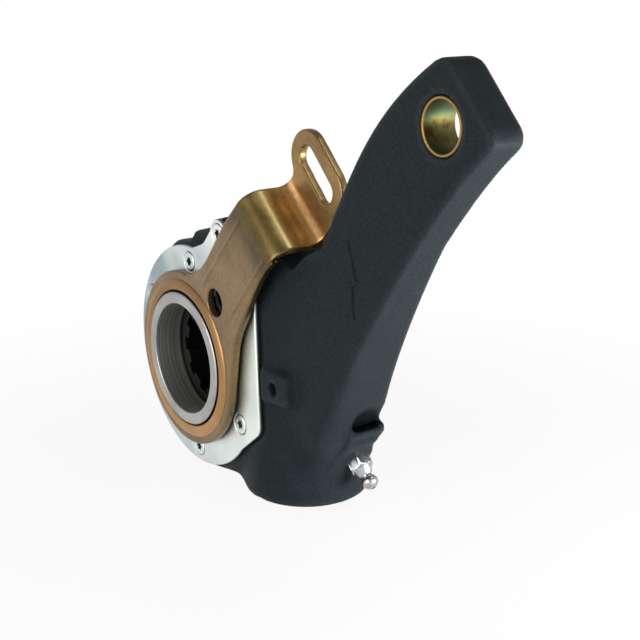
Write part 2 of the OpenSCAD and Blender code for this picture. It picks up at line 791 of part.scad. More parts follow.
// Cap that closes the barrel and carries the spring
module barrel_cap() {
    color("gray")
        translate([worm_x, 0, 0])
            rotate_extrude()
                polygon([[worm_stub_r + run_gap, cap_z0], [spring_chamber_r - 0.6, cap_z0],
                    [spring_chamber_r - 0.05, cap_z0 + 0.6], [spring_chamber_r - 0.05, cap_z0 + 2.4],
                    [spring_chamber_r - 1.9, cap_z0 + 2.4], [spring_chamber_r - 1.9, cap_z0 + 4.6],
                    [spring_chamber_r - 0.05, cap_z0 + 4.6], [spring_chamber_r - 0.05, cap_z1],
                    [15, cap_z1], [15, cap_z1 + 1], [worm_stub_r + run_gap, cap_z1 + 1],
                    [worm_stub_r + run_gap, cap_z0 + 4.6], [worm_stub_r + 1.9, cap_z0 + 4.6],
                    [worm_stub_r + 1.9, cap_z0 + 2.4], [worm_stub_r + run_gap, cap_z0 + 2.4]]);
}

module cap_seal() {
    color("black")
        wtorus(spring_chamber_r - 1, 0.9, cap_z0 + 3.5);
}

module shaft_seal() {
    color("black")
        wtorus(worm_stub_r + 1, 0.9, cap_z0 + 3.5);
}

// Grease nipple screwed into the slanted facet of the barrel
module grease_nipple() {
    color("gainsboro")
        translate([nip_x, nip_y, nip_z])
            rotate([0, nip_angle, 0])
                difference() {
                    union() {
                        translate([0, 0, -6])
                            cylinder(r = 3.5, h = 6.2);
                        intersection() {
                            cylinder(r = 9 / 2 / cos(30), h = 5, $fn = 6);
                            translate([0, 0, -4])
                                cylinder(r1 = 9.4, r2 = 4.1, h = 9.2);
                        }
                        rotate_extrude()
                            polygon([[0, 4.8], [3.1, 4.8], [3.1, 6.2], [2.1, 7.4], [2.1, nip_len - 4.2],
                                [3.25, nip_len - 2.6], [3.25, nip_len - 1.6], [2.1, nip_len], [0, nip_len]]);
                    }
                    translate([0, 0, nip_len - 0.7])
                        cylinder(r1 = 0.8, r2 = 1.2, h = 0.8);
                    translate([0, 0, -8])
                        cylinder(r = 0.9, h = nip_len + 6);
                }
}

housing();
clevis_bush();
cover_plate();
cover_gasket();
cover_screws();
control_arm();
control_collar();
control_disc();
collar_seal();
worm_wheel();
hub_front_seal();
hub_rear_seal();
worm_shaft();
clutch_wheel();
one_way_spring();
ring_gear();
rack();
rack_plug();
thrust_race_upper();
thrust_balls();
thrust_race_lower();
clutch_spring();
spring_seat();
barrel_cap();
cap_seal();
shaft_seal();
grease_nipple();
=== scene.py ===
import bmesh
import bpy
import numpy as np
from mathutils import Matrix


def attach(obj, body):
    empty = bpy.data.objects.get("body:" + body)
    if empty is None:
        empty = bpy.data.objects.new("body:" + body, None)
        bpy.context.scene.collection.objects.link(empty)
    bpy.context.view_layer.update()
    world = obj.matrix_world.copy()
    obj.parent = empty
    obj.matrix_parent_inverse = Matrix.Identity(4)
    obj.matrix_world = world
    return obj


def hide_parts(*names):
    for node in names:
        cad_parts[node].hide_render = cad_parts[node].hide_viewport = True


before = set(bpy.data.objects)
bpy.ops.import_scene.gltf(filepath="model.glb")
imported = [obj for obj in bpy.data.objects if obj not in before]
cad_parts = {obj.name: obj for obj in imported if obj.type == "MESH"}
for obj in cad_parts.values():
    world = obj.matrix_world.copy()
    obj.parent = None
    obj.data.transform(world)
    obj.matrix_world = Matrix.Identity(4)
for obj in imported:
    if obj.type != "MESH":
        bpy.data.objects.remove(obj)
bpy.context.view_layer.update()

# Viewpoint: the adjuster is seen from its front right and a little from above,
# through a short telephoto lens, as in a catalogue picture. Lengths in the
# sections below are millimetres in the part's own frame, shaft along Y, worm along Z.
scene = bpy.context.scene
scene.view_settings.view_transform = "Standard"
eye = (0.3956, -0.2387, 0.1390)
look_right = (0.57828, 0.81550, -0.02344)
look_up = (-0.20698, 0.17444, 0.96267)
look_back = (0.78915, -0.55184, 0.26967)
camera_data = bpy.data.cameras.new("camera")
camera_data.lens = 63.26
camera_data.sensor_width = 36
camera_data.clip_start = 0.01
camera_data.clip_end = 20
camera = bpy.data.objects.new("camera", camera_data)
camera.matrix_world = Matrix([*zip(look_right, look_up, look_back, eye), (0, 0, 0, 1)])
scene.collection.objects.link(camera)
scene.camera = camera


# Housing: one iron casting of a round head, an upright worm barrel and a long
# lever, run together with wide fillets, then bored, faced and painted black.
# A level surface of blended distances gives those fillets, which no single grid does.
def soft_min(a, b, width):
    """Smaller of two distances, rounded off over the given width, so that two forms meet
    in a fillet."""
    near = np.maximum(width - np.abs(a - b), 0) / width
    return np.minimum(a, b) - near * near * width / 4


def soft_max(a, b, width):
    """Larger of two distances, rounded off over the given width, so that a cut or an end
    gets a round edge."""
    return -soft_min(-a, -b, width)


def rounded_outline(points, radii, steps=7):
    """Closed outline with an arc at each corner, centred on the corner's bisector at the
    radius over the sine of half the angle."""
    p = np.asarray(points, float)
    r = np.asarray(radii, float)[:, None]
    back = np.roll(p, 1, 0) - p
    on = np.roll(p, -1, 0) - p
    back /= np.linalg.norm(back, axis=1)[:, None]
    on /= np.linalg.norm(on, axis=1)[:, None]
    half = np.arccos(np.clip((back * on).sum(1), -1, 1))[:, None] / 2
    middle = back + on
    middle /= np.maximum(np.linalg.norm(middle, axis=1)[:, None], 1e-9)
    centre = p + middle * r / np.sin(half)
    first = p + back * r / np.tan(half) - centre
    last = p + on * r / np.tan(half) - centre
    a = np.arctan2(first[:, 1], first[:, 0])[:, None]
    sweep = np.arctan2(last[:, 1], last[:, 0])[:, None] - a
    sweep = (sweep + np.pi) % (2 * np.pi) - np.pi
    turn = a + sweep * np.linspace(0, 1, steps)
    arc = centre[:, None] + r[:, :, None] * np.stack([np.cos(turn), np.sin(turn)], 2)
    return arc.reshape(-1, 2)


def outline_distance(points, x, z):
    """Distance to the nearest edge of a closed outline, negative where a ray along x crosses
    it an odd number of times."""
    near, inside = np.inf, False
    for (ax, az), (ex, ez) in zip(points, np.roll(points, -1, 0) - points):
        px, pz = x - ax, z - az
        t = np.clip((px * ex + pz * ez) / max(ex * ex + ez * ez, 1e-9), 0, 1)
        near = np.minimum(near, (px - t * ex) ** 2 + (pz - t * ez) ** 2)
        inside = inside ^ (((pz >= 0) != (pz >= ez)) & (px < pz * ex / (ez or 1)))
    return np.where(inside, -1, 1) * np.sqrt(near)


def level_skin(field, low, high, step):
    """Skin where a field of distances is zero: one point in each grid cell that the skin
    passes through, slid along the field's gradient onto the skin and evened out along it,
    and one quad around each grid edge that it cuts. Gives points, quads, normals and bend."""
    axes = [np.arange(a, b + step, step) for a, b in zip(low, high)]
    f = field(axes[0][:, None, None], axes[1][None, :, None], axes[2][None, None, :])
    inside = f < 0
    size = np.array(f.shape) - 1
    corners = list(np.ndindex(2, 2, 2))
    full = sum(
        inside[a : a + size[0], b : b + size[1], c : c + size[2]].astype(int)
        for a, b, c in corners
    )
    cell = (full > 0) & (full < len(corners))
    number = np.cumsum(cell).reshape(cell.shape) - 1
    quads = []
    for k in range(3):
        order = (k, (k + 1) % 3, (k + 2) % 3)
        side, count = inside.transpose(order), number.transpose(order)
        cut = (side[:-1] != side[1:])[:, 1:-1, 1:-1]
        i, j, m = np.nonzero(cut)
        ring = [count[i, j, m], count[i, j + 1, m], count[i, j + 1, m + 1], count[i, j, m + 1]]
        ring = np.stack(ring, 1)
        leaves = side[:-1][:, 1:-1, 1:-1][cut]
        quads.append(np.where(leaves[:, None], ring, ring[:, ::-1]))
    quads = np.concatenate(quads)
    slope = np.stack(np.gradient(f), 3)
    bend = sum(np.gradient(slope[..., k], axis=k) for k in range(3))[..., None] / step**2
    grid = np.concatenate([f[..., None], slope, bend], 3)
    longest_step, ease = 0.6, 0.6

    def read(q):
        """Field, slope and bend at any place, mixed from the eight grid corners around it."""
        i = np.clip(q.astype(int), 0, size - 1)
        t = q - i
        weights = [np.prod(np.where(np.array(c, bool), t, 1 - t), 1) for c in corners]
        values = [grid[tuple((i + np.array(c)).T)] for c in corners]
        return sum(w[:, None] * v for w, v in zip(weights, values))

    def settle(q):
        """Move by the field over its slope, towards the skin."""
        v = read(q)
        steep = np.maximum((v[:, 1:4] ** 2).sum(1), 1e-6)[:, None]
        return q - np.clip(v[:, :1] * v[:, 1:4] / steep, -longest_step, longest_step)

    q = np.argwhere(cell) + 0.5
    for _ in range(3):
        q = settle(q)
    ahead = quads[:, [1, 2, 3, 0]]
    start, end = np.concatenate([quads, ahead]).ravel(), np.concatenate([ahead, quads]).ravel()
    degree = np.bincount(start, minlength=len(q))[:, None]
    for _ in range(4):
        total = np.stack([np.bincount(start, q[end, k], len(q)) for k in range(3)], 1)
        slide = total / degree - q
        n = read(q)[:, 1:4]
        n /= np.linalg.norm(n, axis=1)[:, None]
        q = settle(q + ease * (slide - n * (slide * n).sum(1)[:, None]))
    v = read(q)
    normals = v[:, 1:4] / np.linalg.norm(v[:, 1:4], axis=1)[:, None]
    return np.array(low) + q * step, quads, normals, v[:, 4]


def add_piece(name, points, faces, normals=None, weld=False):
    """Make one object from points in millimetres and faces, in the part's own frame. Faces are
    turned round where the volume under them, a sum of triple products, is negative."""
    p = np.asarray(points, float) / 1000
    faces = np.asarray(faces)
    corner = p[faces]
    area = np.cross(corner[:, 1], corner[:, 2]) + np.cross(corner[:, 2], corner[:, -1])
    volume = np.einsum("ij,ij->", corner[:, 0], area)
    mesh = bpy.data.meshes.new(name)
    mesh.from_pydata(p, [], faces if volume > 0 else faces[:, ::-1])
    if weld:
        shell = bmesh.new()
        shell.from_mesh(mesh)
        bmesh.ops.remove_doubles(shell, verts=shell.verts, dist=1e-7)
        shell.to_mesh(mesh)
        shell.free()
    mesh.polygons.foreach_set("use_smooth", np.ones(len(mesh.polygons), bool))
    if normals is None:
        mesh.set_sharp_from_angle(angle=np.radians(32))
    else:
        mesh.normals_split_custom_set_from_vertices(normals)
    piece = bpy.data.objects.new(name, mesh)
    scene.collection.objects.link(piece)
    return piece


worm_x = 43.3
seat_y, face_y = -23.6, -21.3
cover_r, top_screw, top_ear_r = 46.5, (24, 55), 5.8
cover_corners = [
    (-8, 40), (3, 46.4), (12, 49.4), (19.4, 57), (28, 58), (49.2, 34), (49.2, -20), (20, -42),
    (0, -40),
]
cover_outline = rounded_outline(cover_corners, [1, 12, 10, 1, 1, 5, 6, 8, 1])


def cover_plan(x, z):
    """Cover outline seen from the front: the nearest of a disc, a cornered plate and the ear
    of the top screw."""
    plate = outline_distance(cover_outline, x, z)
    ear = np.hypot(x - top_screw[0], z - top_screw[1]) - top_ear_r
    return np.minimum(np.minimum(np.hypot(x, z) - cover_r, plate), ear)


along = np.linspace(0, 1, 25)[:, None]


def lever_edge(a, b, c, d):
    """Cubic curve through two end points, pulled towards two others."""
    a, b, c, d = np.array([a, b, c, d], float)
    t = along
    return (1 - t) ** 3 * a + 3 * t * (1 - t) ** 2 * b + 3 * t * t * (1 - t) * c + t**3 * d


lever_left = lever_edge((70, 38), (99.4, 74.2), (103.5, 103.2), (149.3, 125.9))
lever_right = lever_edge((80, -18), (86.7, -2.4), (139.8, 79.2), (171.4, 100.8))
lever_root_top, lever_root_foot = [(46, 14), (56, 26)], [(67, -34), (52, -45)]
lever_corners = np.concatenate([lever_root_top, lever_left, lever_right[::-1], lever_root_foot])
lever_radii = np.zeros(len(lever_corners))
end_corner = len(lever_root_top) + len(along) - 1
lever_radii[[end_corner, end_corner + 1]] = 8, 5
lever_outline = rounded_outline(lever_corners, lever_radii)
lever_start, lever_way = np.array([75, 10]), np.array([0.6406, 0.7680])
lever_middle = (lever_left + lever_right) / 2
lever_reach = np.concatenate([[-36.2, -19.4], (lever_middle - lever_start) @ lever_way])
tip_thick, root_extra, taper_share = 13.6, 13.3, 0.62
lever_thick = tip_thick + root_extra * np.maximum(1 - along[:, 0] / taper_share, 0)
lever_front = np.concatenate([[-16.3, -20.8], np.full(len(along), face_y)])
lever_back = np.concatenate([[10, 12], face_y + lever_thick])
web_corners = [
    (-17.6, 30), (-17.6, 45.2), (-4, 46.2), (-4, 51.5), (16, 56.5), (30, 57), (58, 52.5),
    (66, 47), (76, 54.5), (86, 58.5), (96, 63), (90, 40), (78, 6), (50, -8), (40, -46.8),
    (0, -46.8), (0, 0),
]
web_radii = [1, 2, 2, 2, 5, 4, 6, 2, 3, 3, 1, 3, 3, 3, 3, 1, 1]
web_outline = rounded_outline(web_corners, web_radii)
pad_corners = [(50, -5.5), (50, 7.5), (67.5, 7.5), (67.5, -5.5)]
pad_outline = rounded_outline(pad_corners, [1, 3, 3, 3])
lug_corners = [
    (52, 1.7), (79.5, -9.5), (84, -14.5), (80.4, -20.9), (74, -26.1), (66.7, -34.8), (52, -30),
]
lug_outline = rounded_outline(lug_corners, [1, 3, 2, 3, 1, 1, 1])
nipple_foot = np.array([70, 5, -31.3])
nipple_way = np.array([0.7660444, 0, -0.6427876])
head_r, head_back, head_round = 46.8, 24.5, 7.5
barrel_r, barrel_top, barrel_foot, barrel_round = 24.5, 54.5, -49.4, 11
pad_front, lug_front, lug_back = -25.8, -7, 7.5
boss_r, boss_length = 6.6, 16
wheel_room_r, wheel_room_back, hub_bore_r = 36.2, 8.6, 27.85
spring_room_r, spring_room_top, worm_room_r, worm_room_top = 17.6, -25.2, 14.4, 36.3
ring_room_r, ring_room_foot, ring_room_top = 13.4, 35.6, 43.5
journal_r, journal_top = 6.3, 51.2
rack_y, rack_half_depth = -13.3, 4.2
pin_spot, pin_seat_r = (147.5, 104.21), 9.2
tool_spot, tool_r, tool_end = (26.94, 28.89), 5.7, -18.6
pad_hole_spot, pad_hole_r, pad_hole_end = (58.2, 0.6), 2.6, -17.2
bore_round = 0.9


def lug_hollow(x, y, z):
    """Distance to the hollow above the nipple lug: a sloping roof, a floor that falls inwards
    and two ends."""
    roof = (88.6 - x) * 0.652 + (z + 2.6) * 0.759
    fall = 0.25 * (x - 84) - 13.8 - z
    return soft_max(soft_max(roof, fall, 2.4), np.abs(y - 2.4) - 9.2, 4.5)


def housing_field(x, y, z):
    """Distance to the casting: head, barrel, lever, webs, pad and nipple boss blended with
    fillets, less the hollow over the lug and the bores."""
    shaft = np.hypot(x, z)
    worm = np.hypot(x - worm_x, y)
    plan = cover_plan(x, z)
    head = soft_max(soft_max(shaft - head_r, y - head_back, head_round), seat_y - y, 1)
    barrel = soft_max(worm - barrel_r, z - barrel_top, barrel_round)
    barrel = soft_max(barrel, barrel_foot - z, 2.4)
    reach = (x - lever_start[0]) * lever_way[0] + (z - lever_start[1]) * lever_way[1]
    front = np.interp(reach, lever_reach, lever_front)
    back = np.interp(reach, lever_reach, lever_back)
    edge_round = np.interp(reach, [-36, 0, 30, 60], [9, 7, 3.2, 2.4])
    lever = soft_max(outline_distance(lever_outline, x, z), front - y, edge_round)
    lever = soft_max(lever, y - back, 2.4)
    seat = soft_max(plan - 0.2, np.maximum(seat_y - y, y + 12), 1.2)
    web = soft_max(outline_distance(web_outline, x, z), np.maximum(face_y - y, y + 4), 1.8)
    pad = soft_max(outline_distance(pad_outline, x, z), np.maximum(pad_front - y, y + 17), 3)
    lug_sides = np.maximum(lug_front - y, y - lug_back)
    lug = soft_max(outline_distance(lug_outline, x, z), lug_sides, 1.8)
    boss_x, boss_z = x - nipple_foot[0], z - nipple_foot[2]
    boss_along = boss_x * nipple_way[0] + boss_z * nipple_way[2]
    boss_across = boss_x * nipple_way[2] - boss_z * nipple_way[0]
    boss_ends = np.maximum(boss_along, -boss_length - boss_along)
    boss = soft_max(np.hypot(boss_across, y - nipple_foot[1]) - boss_r, boss_ends, 1.5)
    cast = soft_min(head, barrel, 2)
    cast = soft_min(cast, np.minimum(lever, web), 5.5)
    cast = soft_min(cast, lug, 3)
    cast = soft_min(cast, boss, 3)
    cast = np.minimum(cast, seat)
    cast = soft_min(cast, pad, 4)
    cast = soft_max(cast, -lug_hollow(x, y, z), 1.6)
    pocket = np.maximum(plan - 0.5, y - seat_y)
    wheel_room = np.maximum(np.maximum(shaft - wheel_room_r, y - wheel_room_back), -30 - y)
    hub_bore = np.maximum(shaft - hub_bore_r, -y)
    spring_room = np.maximum(worm - spring_room_r, z - spring_room_top)
    worm_room = np.maximum(worm - worm_room_r, np.maximum(z - worm_room_top, -27 - z))
    ring_ends = np.maximum(z - ring_room_top, ring_room_foot - z)
    ring_room = np.maximum(worm - ring_room_r, ring_ends)
    journal = np.maximum(worm - journal_r, np.maximum(z - journal_top, 30 - z))
    rack_depth = np.abs(y - rack_y) - rack_half_depth
    rack_bore = np.maximum(np.abs(x - 20.1) - 45.1, np.abs(z - 39.8) - 3.5)
    lug_window = np.maximum(np.abs(x) - 13.2, np.abs(z - 36.5) - 6.5)
    pin_seat = np.hypot(x - pin_spot[0], z - pin_spot[1]) - pin_seat_r
    tool_hole = np.hypot(x - tool_spot[0], z - tool_spot[1]) - tool_r
    pad_hole = np.hypot(x - pad_hole_spot[0], z - pad_hole_spot[1]) - pad_hole_r
    bores = (
        pocket, wheel_room, hub_bore, spring_room, worm_room, ring_room, journal,
        np.maximum(rack_bore, rack_depth), np.maximum(lug_window, rack_depth), pin_seat,
        np.maximum(tool_hole, y - tool_end), np.maximum(pad_hole, y - pad_hole_end),
    )
    for bore in bores:
        cast = soft_max(cast, -bore, bore_round)
    return cast


def linear(code):
    """Turn an sRGB hex colour into the linear values that a shader takes."""
    c = np.array([int(code[k : k + 2], 16) for k in (1, 3, 5)]) / 255
    return (*np.where(c <= 0.04045, c / 12.92, ((c + 0.055) / 1.055) ** 2.4), 1)


def feed(tree, node, inputs):
    """Give a node's sockets, by name or number, a value or a link from another node."""
    for name, value in inputs.items():
        if isinstance(value, bpy.types.NodeSocket):
            tree.links.new(value, node.inputs[name])
        else:
            node.inputs[name].default_value = value


def put(tree, kind, settings=None, inputs=None, stops=()):
    """Add one node with its settings, its inputs and, on a colour ramp, its stops, each a
    place and a hex colour."""
    node = tree.nodes.new(kind)
    for name, value in (settings or {}).items():
        setattr(node, name, value)
    feed(tree, node, inputs or {})
    for _ in stops[2:]:
        node.color_ramp.elements.new(0.5)
    for k, (place, code) in enumerate(stops):
        node.color_ramp.elements[k].position = place
        node.color_ramp.elements[k].color = linear(code)
    return node


def new_material(name, roughness, metallic, specular=0.5):
    """Start a material from its even values, and give its tree, shader and coordinates."""
    material = bpy.data.materials.new(name)
    material.use_nodes = True
    tree = material.node_tree
    shader = tree.nodes["Principled BSDF"]
    even = {"Roughness": roughness, "Metallic": metallic, "Specular IOR Level": specular}
    feed(tree, shader, even)
    return material, tree, shader, put(tree, "ShaderNodeTexCoord").outputs["Object"]


# Satin black paint on sand-cast iron: the eye sees a blue-grey black with a fine
# sand grain of about 0.7 mm, soft waves of some 9 mm, paler rubbed edges and a
# painted shade in the hollow over the nipple, darker lower down.
paint, tree, shader, place = new_material("satin_black_paint_on_sand_cast_iron", 0.5, 0, 0.05)
grain = put(tree, "ShaderNodeTexNoise",
            inputs={"Vector": place, "Scale": 1000 / 0.7, "Detail": 3.0}).outputs["Fac"]
waves = put(tree, "ShaderNodeTexNoise",
            inputs={"Vector": place, "Scale": 1000 / 9, "Detail": 2.0}).outputs["Fac"]
speck = put(tree, "ShaderNodeMath", {"operation": "MULTIPLY_ADD"}, {0: waves, 1: 0.25, 2: grain})
tone = put(tree, "ShaderNodeValToRGB", inputs={"Fac": speck.outputs[0]},
           stops=[(0.45, "#1c2225"), (0.82, "#282e31")])
edge = put(tree, "ShaderNodeAttribute", {"attribute_name": "rubbed"})
worn = put(tree, "ShaderNodeMath", {"operation": "MULTIPLY"}, {0: edge.outputs["Fac"], 1: grain})
colour = put(tree, "ShaderNodeMix", {"data_type": "RGBA"},
             {0: worn.outputs[0], 6: tone.outputs["Color"], 7: linear("#333a3d")})
# Painted shade: the paint goes near black on the hollow over the lug.
hollow_shade = put(tree, "ShaderNodeAttribute", {"attribute_name": "hollow_painted_shade"})
colour = put(tree, "ShaderNodeMix", {"data_type": "RGBA"},
             {0: hollow_shade.outputs["Fac"], 6: colour.outputs[2], 7: linear("#14191b")})
rough = put(tree, "ShaderNodeMapRange", inputs={"Value": waves, 3: 0.44, 4: 0.56})
skin = put(tree, "ShaderNodeBump", inputs={"Height": grain, "Strength": 0.6, "Distance": 0.0002})
swell = put(tree, "ShaderNodeBump", inputs={
    "Height": waves, "Strength": 0.3, "Distance": 0.0006, "Normal": skin.outputs[0]})
feed(tree, shader, {"Base Color": colour.outputs[2], "Roughness": rough.outputs[0],
                    "Normal": swell.outputs[0]})

housing_low, housing_high, housing_step = (-49.6, -28.6, -51.2), (174, 27.8, 128), 1.1
points, faces, normals, bend = level_skin(
    housing_field, housing_low, housing_high, housing_step)
housing = add_piece("housing_casting", points, faces, normals)
rubbed = housing.data.attributes.new("rubbed", "FLOAT", "POINT")
rubbed.data.foreach_set("value", np.clip((bend - 0.12) / 0.3, 0, 1))
# Painted shade: a mask on the hollow's surface over the lug, fading in from 3 mm to 6 mm below the
# shaft's level.
hollow_painted_shade = housing.data.attributes.new("hollow_painted_shade", "FLOAT", "POINT")
on_hollow = np.clip(2.2 - np.abs(lug_hollow(*points.T)) / 0.9, 0, 1)
hollow_painted_shade.data.foreach_set("value", on_hollow * np.clip((-3 - points[:, 2]) / 3, 0, 1))
housing.data.materials.append(paint)
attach(housing, "casting")
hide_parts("housing")


# Clevis bush: a thin steel bush pressed into the lever's end for the pushrod pin,
# its ends slightly rounded, in a yellow and greenish zinc passivate.
def ring_faces(rows, columns):
    """Quads of a grid that closes on itself both ways."""
    a = np.arange(rows * columns).reshape(rows, columns)
    b, c = np.roll(a, -1, 0), np.roll(a, -1, 1)
    return np.stack([a, c, np.roll(b, -1, 1), b], 2).reshape(-1, 4)


def once_round(count):
    """Even angles once round a circle."""
    return np.linspace(0, 2 * np.pi, count, endpoint=False)


def turned(rows, turn, centre, axis, side_a, side_b):
    """Rows of (along, radius) carried round an axis: each point lies along it from the centre
    and out by its radius, on a circle through two sides. A radius may change with the turn."""
    radius = np.stack([np.broadcast_to(r, turn.shape) for _, r in rows])[..., None]
    far = np.array([a for a, _ in rows], float)[:, None, None]
    out = np.cos(turn)[:, None] * side_a + np.sin(turn)[:, None] * side_b
    points = np.asarray(centre) + far * axis + radius * out
    return points.reshape(-1, 3), ring_faces(len(rows), len(turn))


side_x, shaft_way, side_z = np.eye(3)

# Yellow zinc passivate on a steel bush: clouds of straw, green and copper,
# about 5 mm wide, drawing marks shown at 0.5 mm, coarser than real, and a paler
# copper rim.
yellow, tree, shader, place = new_material("yellow_zinc_passivate_on_drawn_steel", 0.5, 1)
clouds = put(tree, "ShaderNodeTexNoise",
             inputs={"Vector": place, "Scale": 1000 / 5, "Detail": 3.0})
tint = put(tree, "ShaderNodeValToRGB", inputs={"Fac": clouds.outputs["Fac"]},
           stops=[(0.38, "#493a20"), (0.5, "#5c592f"), (0.62, "#45523a")])
split = put(tree, "ShaderNodeSeparateXYZ", inputs={"Vector": place})
rim = put(tree, "ShaderNodeMapRange",
          inputs={"Value": split.outputs["Y"], 1: -0.0209, 2: -0.0203, 3: 1.0, 4: 0.0})
colour = put(tree, "ShaderNodeMix", {"data_type": "RGBA"},
             {0: rim.outputs[0], 6: tint.outputs["Color"], 7: linear("#a5824e")})
drawn = put(tree, "ShaderNodeTexNoise",
            inputs={"Vector": place, "Scale": 1000 / 0.5, "Detail": 1.0})
marks = put(tree, "ShaderNodeBump",
            inputs={"Height": drawn.outputs["Fac"], "Strength": 0.15, "Distance": 0.0001})
feed(tree, shader, {"Base Color": colour.outputs[2], "Normal": marks.outputs[0]})

bush_corners = [(-21.0, 7.95), (-21.0, 8.7), (-20.4, 9.05), (-8.0, 9.05), (-8.0, 7.95)]
bush_profile = rounded_outline(bush_corners, [0.4, 0.1, 0.2, 0.3, 0.5], 5)
bush_centre = (pin_spot[0], 0, pin_spot[1])
bush = add_piece("clevis_bush_sleeve", *turned(
    bush_profile, once_round(128), bush_centre, shaft_way, side_x, side_z))
bush.data.materials.append(yellow)
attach(bush, "casting")
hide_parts("clevis_bush")

# Worm wheel: a turned steel hub with a counterbore and ten spline slots for the
# camshaft, and a ring of 25 teeth for the worm. Its bright front end shows in the cover.
wheel_turn = once_round(1000)
tooth_pitch, slot_pitch = 2 * np.pi / 25, 2 * np.pi / 10
pitch_r, worm_lead_slope = 32.5, 0.1204
hub_r, rear_r, bore_r = 27.8, 27.6, 23.1
spline_r, spline_minor_r, spline_half = 19.05, 16.4, 2.97


def tooth_radius(y):
    """Radius of the toothed rim: from the tooth's half width at each radius, leaning with
    depth by the worm's lead."""
    off = wheel_turn + worm_lead_slope * y / pitch_r
    off = (off + tooth_pitch / 2) % tooth_pitch - tooth_pitch / 2
    half_widths, radii = [0.62, 2.0, 2.7, 3.1], [34.84, 32.5, 30.15, 29.25]
    return np.interp(np.abs(off) * pitch_r, half_widths, radii)


slot_off = (wheel_turn + slot_pitch / 2) % slot_pitch - slot_pitch / 2
in_slot = np.abs(np.sin(slot_off)) * spline_r < spline_half
spline_radius = np.where(in_slot, spline_r, spline_minor_r)
wheel_rows = [
    (-32, 23.35), (-32, 27.4), (-31.6, hub_r), (-20.6, hub_r), (-20.6, 25.8), (-18.2, 25.8),
    (-18.2, hub_r), (-8, hub_r), *((y, tooth_radius(y)) for y in (-8, -4, 0, 4, 8)),
    (8, rear_r), (16, rear_r), (16, 25.6), (18.4, 25.6), (18.4, rear_r), (25.2, rear_r),
    (26, 26.8), (26, spline_radius + 0.5), (25.5, spline_radius), (-19.7, spline_radius),
    (-19.7, bore_r), (-31.75, bore_r),
]

# Plain turned steel: a cool grey with tool rings round the shaft, drawn at 0.7 mm,
# coarser than a lathe leaves them, to show. The faced end is dull, the bored
# wall is painted brighter, a painted reflection, and the splines and the groove
# at the collar are painted dark, a painted shade.
turned_steel, tree, shader, place = new_material("turned_medium_carbon_steel", 0.45, 1)
split = put(tree, "ShaderNodeSeparateXYZ", inputs={"Vector": place})
depth = split.outputs["Y"]
flat = put(tree, "ShaderNodeCombineXYZ", inputs={"X": split.outputs["X"], "Y": split.outputs["Z"]})
ring_r = put(tree, "ShaderNodeVectorMath", {"operation": "LENGTH"},
             {0: flat.outputs[0]}).outputs["Value"]
track = put(tree, "ShaderNodeCombineXYZ", inputs={"X": ring_r, "Y": depth})
rings = put(tree, "ShaderNodeTexNoise", inputs={
    "Vector": track.outputs[0], "Scale": 1000 / 0.7, "Detail": 3.0}).outputs["Fac"]
stain = put(tree, "ShaderNodeTexNoise",
            inputs={"Vector": place, "Scale": 1000 / 14, "Detail": 3.0})
mixed = put(tree, "ShaderNodeMath", {"operation": "MULTIPLY_ADD"},
            {0: rings, 1: 0.6, 2: stain.outputs["Fac"]})
faced = put(tree, "ShaderNodeValToRGB", inputs={"Fac": mixed.outputs[0]},
            stops=[(0.45, "#858483"), (0.95, "#b4b3b1")])
# Painted reflection: the bored wall gets a paler grey than the faced end.
painted_bright_bore = put(tree, "ShaderNodeValToRGB", inputs={"Fac": rings},
            stops=[(0.36, "#9a9a99"), (0.62, "#e6e6e4")])
behind_face = put(tree, "ShaderNodeMapRange", inputs={"Value": depth, 1: -0.0318, 2: -0.0314})
near_end = put(tree, "ShaderNodeMapRange",
               inputs={"Value": depth, 1: -0.019, 2: -0.018, 3: 1.0, 4: 0.0})
wall = put(tree, "ShaderNodeMath", {"operation": "MULTIPLY"},
           {0: behind_face.outputs[0], 1: near_end.outputs[0]})
bright = put(tree, "ShaderNodeMix", {"data_type": "RGBA"},
             {0: wall.outputs[0], 6: faced.outputs["Color"], 7: painted_bright_bore.outputs["Color"]})
inward = put(tree, "ShaderNodeMapRange", inputs={"Value": depth, 1: -0.0206, 2: -0.0199})
outward = put(tree, "ShaderNodeMapRange",
              inputs={"Value": depth, 1: 0.012, 2: 0.025, 3: 1.0, 4: 0.0})
splines = put(tree, "ShaderNodeMath", {"operation": "MULTIPLY"},
              {0: inward.outputs[0], 1: outward.outputs[0]})
outside = put(tree, "ShaderNodeMapRange", inputs={"Value": ring_r, 1: 0.0275, 2: 0.0278})
groove = put(tree, "ShaderNodeMath", {"operation": "MULTIPLY"},
             {0: outside.outputs[0], 1: wall.outputs[0]})
# Painted shade: the splines deep in the bore and the hub's side inside the collar go near black.
painted_dark_recess = put(tree, "ShaderNodeMath", {"operation": "MAXIMUM"},
            {0: splines.outputs[0], 1: groove.outputs[0]})
colour = put(tree, "ShaderNodeMix", {"data_type": "RGBA"},
             {0: painted_dark_recess.outputs[0], 6: bright.outputs[2], 7: linear("#23221f")})
cut = put(tree, "ShaderNodeBump", inputs={"Height": rings, "Strength": 0.5, "Distance": 0.00012})
feed(tree, shader, {"Base Color": colour.outputs[2], "Normal": cut.outputs[0]})

wheel = add_piece("worm_wheel_hub", *turned(
    wheel_rows, wheel_turn, (0, 0, 0), shaft_way, side_x, side_z))
wheel.data.materials.append(turned_steel)
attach(wheel, "wheel")
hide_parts("worm_wheel")

# Cover: a pressed steel plate with a round opening for the collar and seven
# countersunk holes, its cut edges a little rounded, bright zinc plated.
screw_angles = np.radians(30 + 60 * np.arange(6))
screw_ring = 40 * np.stack([np.cos(screw_angles), np.sin(screw_angles)], 1)
screw_spots = np.concatenate([screw_ring, [top_screw]])
cover_front, cover_back = -26.2, -24.2
collar_hole_r, cover_tool_spot, cover_tool_r = 31.3, (26.2, 28.6), 6.9
screw_hole_r, sink_r = 2.9, 4.45


